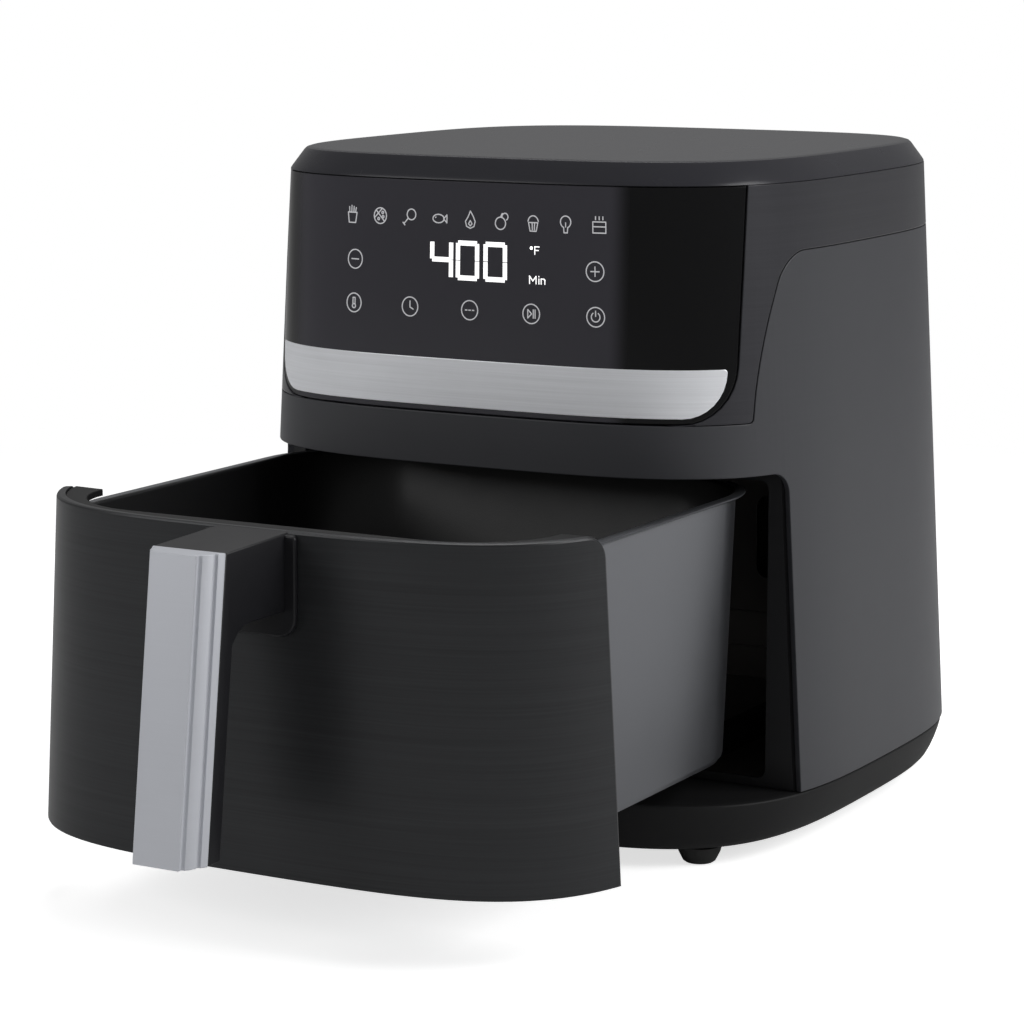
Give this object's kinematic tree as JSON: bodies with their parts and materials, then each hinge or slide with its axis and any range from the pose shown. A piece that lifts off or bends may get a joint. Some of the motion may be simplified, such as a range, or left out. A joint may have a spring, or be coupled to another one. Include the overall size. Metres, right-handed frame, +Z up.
{
  "type": "air fryer",
  "caption": "Countertop air fryer: tall rounded housing with a touch panel over a metal band, ring heater and fan above a chamber, and a pull-out basket drawer with a lift-out crisper plate.",
  "frame": {"origin": "on the floor plane under the centre of the whole object's box, with the drawer open as stored", "axes": "+Z up, +Y from the front towards the back (the drawer closes along +Y), +X to the right of a person facing the front"},
  "size_m": [0.2802, 0.5038, 0.3],
  "materials": {
    "shell_graphite": "satin graphite moulding with a fine horizontal brushed grain",
    "gloss_black": "high-gloss black moulding",
    "front_brushed": "near-black, finely brushed side to side, satin lacquer",
    "matt_black": "matt black moulding",
    "rubber": "matt black rubber",
    "band_metal": "brushed side to side",
    "cap_silver": "satin silver",
    "coated_steel": "satin dark-grey non-stick coating",
    "steel": "plain pressed steel",
    "board": "green circuit board",
    "silicone": "soft matt silicone"
  },
  "bodies": {
    "housing": {"outer_shell": "shell_graphite", "top_cover": "gloss_black", "control_fascia": "gloss_black", "trim_band": "band_metal", "fascia_carrier": "matt_black", "control_board": "board", "power_board": "board", "rear_vent": "matt_black", "cord_gland": "rubber", "base_pan": "matt_black", "foot_front_left": "rubber", "foot_front_right": "rubber", "foot_rear_left": "rubber", "foot_rear_right": "rubber", "housing_screw_front_left": "steel", "housing_screw_front_right": "steel", "housing_screw_rear_left": "steel", "housing_screw_rear_right": "steel", "bay_frame": "matt_black", "drawer_switch": "matt_black", "cooking_chamber": "coated_steel", "slide_rail_left": "matt_black", "slide_rail_right": "matt_black", "heater_dome": "steel", "heating_element": "steel", "element_clip_1": "steel", "element_clip_2": "steel", "element_clip_3": "steel", "temperature_sensor": "steel", "thermal_cutout": "matt_black", "motor_bracket": "steel", "fan_motor": "steel"},
    "fan": {"fan_shaft": "steel", "fan_nut": "steel", "convection_fan": "steel", "cooling_fan": "matt_black"},
    "plunger": {"switch_plunger": "silicone"},
    "drawer": {"drawer_front": "front_brushed", "drawer_liner": "matt_black", "basket": "coated_steel", "basket_bracket": "steel", "basket_screw_left": "steel", "basket_screw_right": "steel", "handle_grip": "matt_black", "handle_cap": "cap_silver", "handle_screw_1": "steel", "handle_screw_2": "steel"},
    "crisper": {"crisper_plate": "coated_steel", "crisper_foot_1": "silicone", "crisper_foot_2": "silicone", "crisper_foot_3": "silicone", "crisper_foot_4": "silicone"}
  },
  "joints": [
    {"name": "drawer_slide", "type": "slide", "parent": "housing", "child": "drawer", "axis": [0, 1, 0], "range_m": [-0.075, 0.167]},
    {"name": "crisper_lift", "type": "slide", "parent": "drawer", "child": "crisper", "axis": [0, 0, 1], "range_m": [0, 0.1]},
    {"name": "fan_spin", "type": "hinge", "parent": "housing", "child": "fan", "pos_m": [0, 0.1302, 0.22], "axis": [0, 0, 1], "continuous": true},
    {"name": "switch_press", "type": "slide", "parent": "housing", "child": "plunger", "axis": [0, 1, 0], "range_m": [0, 0.0022], "stiffness_N_per_m": 300}
  ]
}
